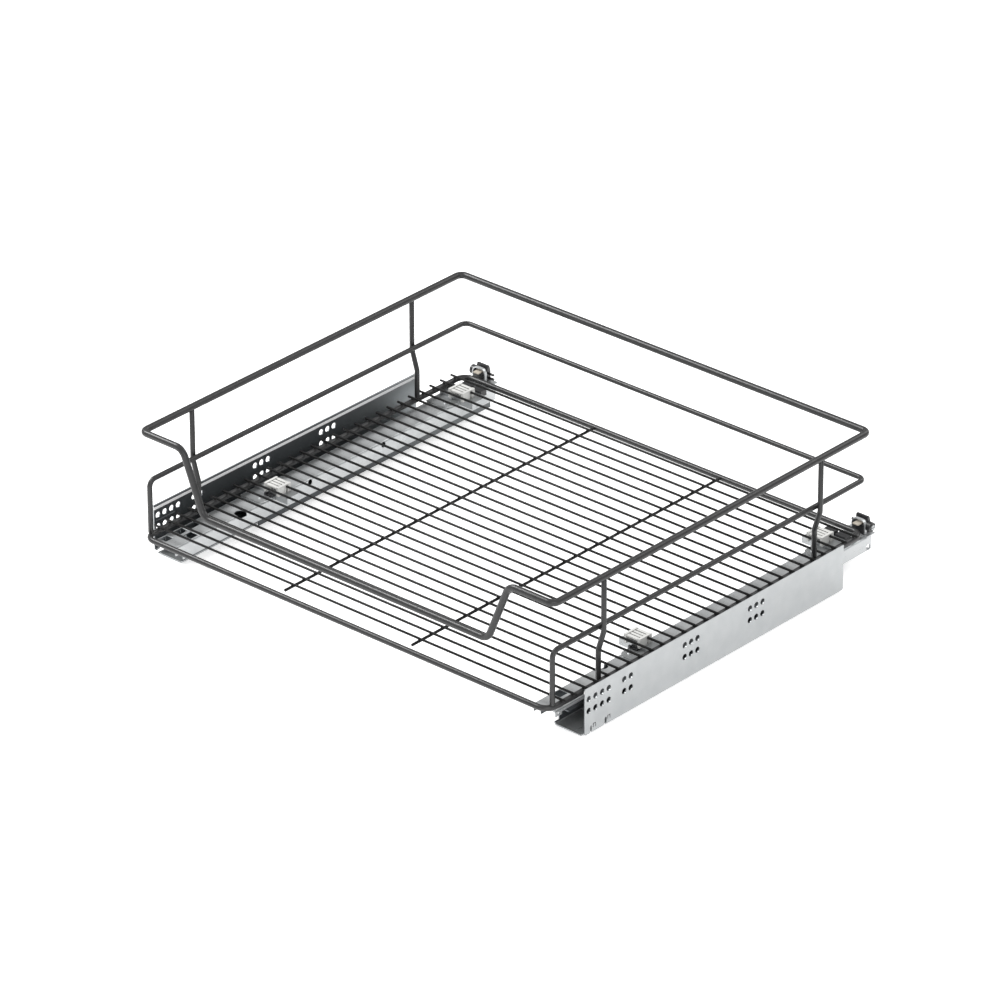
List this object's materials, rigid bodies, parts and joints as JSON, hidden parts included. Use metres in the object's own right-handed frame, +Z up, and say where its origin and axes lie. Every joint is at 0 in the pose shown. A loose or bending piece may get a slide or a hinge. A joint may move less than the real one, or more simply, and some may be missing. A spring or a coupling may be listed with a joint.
{
  "type": "pull-out drawer unit",
  "caption": "Welded wire basket with a lowered front rail on a pair of concealed full-extension runners that screw to a cabinet's sides.",
  "frame": {"origin": "middle of the bounding box's lowest face, the underside of the cabinet profiles' flanges", "axes": "+X to the right seen from the front, +Y to the back of the cabinet, +Z up; the drawer opens along -Y"},
  "size_m": [0.564, 0.493, 0.1532],
  "materials": {
    "wire_coating": "anthracite satin powder coat on steel wire",
    "zinc_sheet": "bright zinc-plated sheet steel",
    "roller_steel": "ground steel",
    "cage_plastic": "natural white moulded plastic",
    "black_plastic": "black moulded plastic",
    "pad_plastic": "light grey-beige moulded plastic"
  },
  "bodies": {
    "cabinet_rails": {"cabinet_profile_left": "zinc_sheet", "cabinet_profile_right": "zinc_sheet"},
    "drawer": {"base_rim": "wire_coating", "middle_rail": "wire_coating", "top_rail": "wire_coating", "upright_front_left": "wire_coating", "upright_front_right": "wire_coating", "upright_rear_left": "wire_coating", "upright_rear_right": "wire_coating", "floor_wires": "wire_coating", "lengthwise_wires": "wire_coating", "drawer_profile_left": "zinc_sheet", "drawer_profile_right": "zinc_sheet", "front_bracket_left": "zinc_sheet", "front_bracket_right": "zinc_sheet", "rear_bracket_left": "zinc_sheet", "rear_bracket_right": "zinc_sheet", "front_clip_left": "cage_plastic", "front_clip_right": "cage_plastic", "rear_clip_left": "cage_plastic", "rear_clip_right": "cage_plastic", "bracket_rivets": "zinc_sheet", "rear_screws": "zinc_sheet", "rear_block_left": "black_plastic", "rear_block_right": "black_plastic", "front_lever_left": "black_plastic", "front_lever_right": "black_plastic", "rear_stop_left": "black_plastic", "rear_stop_right": "black_plastic", "rear_strip_left": "pad_plastic", "rear_strip_right": "pad_plastic", "rear_catch_left": "zinc_sheet", "rear_catch_right": "zinc_sheet"},
    "middle_left": {"middle_profile_left": "zinc_sheet"},
    "lower_carriage_left": {"lower_cage_left": "cage_plastic", "lower_rollers_left": "roller_steel"},
    "upper_carriage_left": {"upper_cage_left": "cage_plastic", "upper_rollers_left": "roller_steel"},
    "middle_right": {"middle_profile_right": "zinc_sheet"},
    "lower_carriage_right": {"lower_cage_right": "cage_plastic", "lower_rollers_right": "roller_steel"},
    "upper_carriage_right": {"upper_cage_right": "cage_plastic", "upper_rollers_right": "roller_steel"}
  },
  "joints": [
    {"name": "drawer_slide", "type": "slide", "parent": "cabinet_rails", "child": "drawer", "axis": [0, -1, 0], "range_m": [0, 0.45]},
    {"name": "middle_left_slide", "type": "slide", "parent": "cabinet_rails", "child": "middle_left", "axis": [0, -1, 0], "range_m": [0, 0.225]},
    {"name": "lower_carriage_left_slide", "type": "slide", "parent": "cabinet_rails", "child": "lower_carriage_left", "axis": [0, -1, 0], "range_m": [0, 0.1125]},
    {"name": "upper_carriage_left_slide", "type": "slide", "parent": "cabinet_rails", "child": "upper_carriage_left", "axis": [0, -1, 0], "range_m": [0, 0.3375]},
    {"name": "middle_right_slide", "type": "slide", "parent": "cabinet_rails", "child": "middle_right", "axis": [0, -1, 0], "range_m": [0, 0.225]},
    {"name": "lower_carriage_right_slide", "type": "slide", "parent": "cabinet_rails", "child": "lower_carriage_right", "axis": [0, -1, 0], "range_m": [0, 0.1125]},
    {"name": "upper_carriage_right_slide", "type": "slide", "parent": "cabinet_rails", "child": "upper_carriage_right", "axis": [0, -1, 0], "range_m": [0, 0.3375]}
  ],
  "couplings": [
    {"joint": "middle_left_slide", "follows": "drawer_slide", "ratio": 0.5},
    {"joint": "lower_carriage_left_slide", "follows": "drawer_slide", "ratio": 0.25},
    {"joint": "upper_carriage_left_slide", "follows": "drawer_slide", "ratio": 0.75},
    {"joint": "middle_right_slide", "follows": "drawer_slide", "ratio": 0.5},
    {"joint": "lower_carriage_right_slide", "follows": "drawer_slide", "ratio": 0.25},
    {"joint": "upper_carriage_right_slide", "follows": "drawer_slide", "ratio": 0.75}
  ]
}
